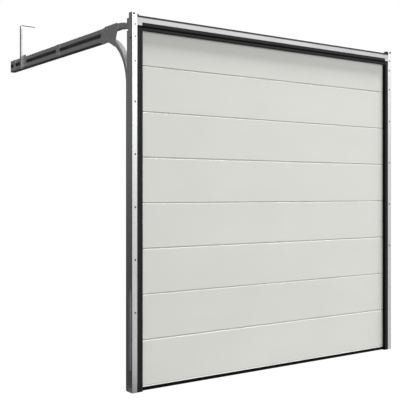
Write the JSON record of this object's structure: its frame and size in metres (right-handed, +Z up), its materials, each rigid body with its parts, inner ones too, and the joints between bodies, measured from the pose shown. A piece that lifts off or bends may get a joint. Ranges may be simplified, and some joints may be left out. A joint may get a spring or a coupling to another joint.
{
  "type": "sectional garage door",
  "caption": "Sectional garage door: leaf of grooved sections in a steel frame with rubber seals, double horizontal tracks with ceiling hangers, and a spring bolt on the inside.",
  "frame": {"origin": "on the front face of the left post's wall flange, on its line of screw holes, at the floor", "axes": "+X along the wall to the right as seen from the street, +Y into the garage, +Z up"},
  "size_m": [2.21, 1.79, 2.356],
  "materials": {
    "black_rubber": "matt",
    "bright_zinc": "bright zinc",
    "dark_steel": "satin grey",
    "knob_plastic": "glossy",
    "leaf_paint": "satin, fine embossed grain",
    "roller_plastic": "matt",
    "spring_steel": "oiled wire",
    "trim_white": "satin",
    "zinc_steel": "galvanised sheet"
  },
  "bodies": {
    "door": {"bottom_rail": "trim_white", "bottom_seal": "black_rubber", "bottom_section": "leaf_paint", "end_caps": "zinc_steel", "latch_bracket": "bright_zinc", "latch_spring": "spring_steel", "left_curved_track": "dark_steel", "left_gusset_plate": "dark_steel", "left_hanger": "bright_zinc", "left_horizontal_track": "dark_steel", "left_lift_cable": "bright_zinc", "left_post": "zinc_steel", "left_pulley": "roller_plastic", "left_roller_carriers": "bright_zinc", "left_rollers": "roller_plastic", "left_side_seal": "black_rubber", "left_spring": "spring_steel", "left_track_straps": "dark_steel", "left_upper_arm": "dark_steel", "left_vertical_track": "dark_steel", "lintel": "trim_white", "lintel_seals": "black_rubber", "lower_middle_section": "leaf_paint", "middle_hinges": "bright_zinc", "right_curved_track": "dark_steel", "right_gusset_plate": "dark_steel", "right_hanger": "bright_zinc", "right_horizontal_track": "dark_steel", "right_lift_cable": "bright_zinc", "right_post": "zinc_steel", "right_pulley": "roller_plastic", "right_roller_carriers": "bright_zinc", "right_rollers": "roller_plastic", "right_side_seal": "black_rubber", "right_spring": "spring_steel", "right_track_straps": "dark_steel", "right_upper_arm": "dark_steel", "right_vertical_track": "dark_steel", "spring_anchors": "bright_zinc", "top_section": "leaf_paint", "track_end_caps": "roller_plastic", "upper_middle_section": "leaf_paint"},
    "bolt_slider": {"latch_washer": "bright_zinc"},
    "bolt_handle": {"latch_rod": "bright_zinc", "latch_knob": "knob_plastic"}
  },
  "joints": [
    {"name": "bolt_slide", "type": "slide", "parent": "door", "child": "bolt_slider", "axis": [-1, 0, 0], "range_m": [0, 0.03], "stiffness_N_per_m": 300, "springref_m": -0.01, "deforming": ["latch_spring"]},
    {"name": "bolt_turn", "type": "hinge", "parent": "bolt_slider", "child": "bolt_handle", "pos_m": [0.12, 0.079, 0.8], "axis": [1, 0, 0], "range_deg": [0, 90]}
  ]
}
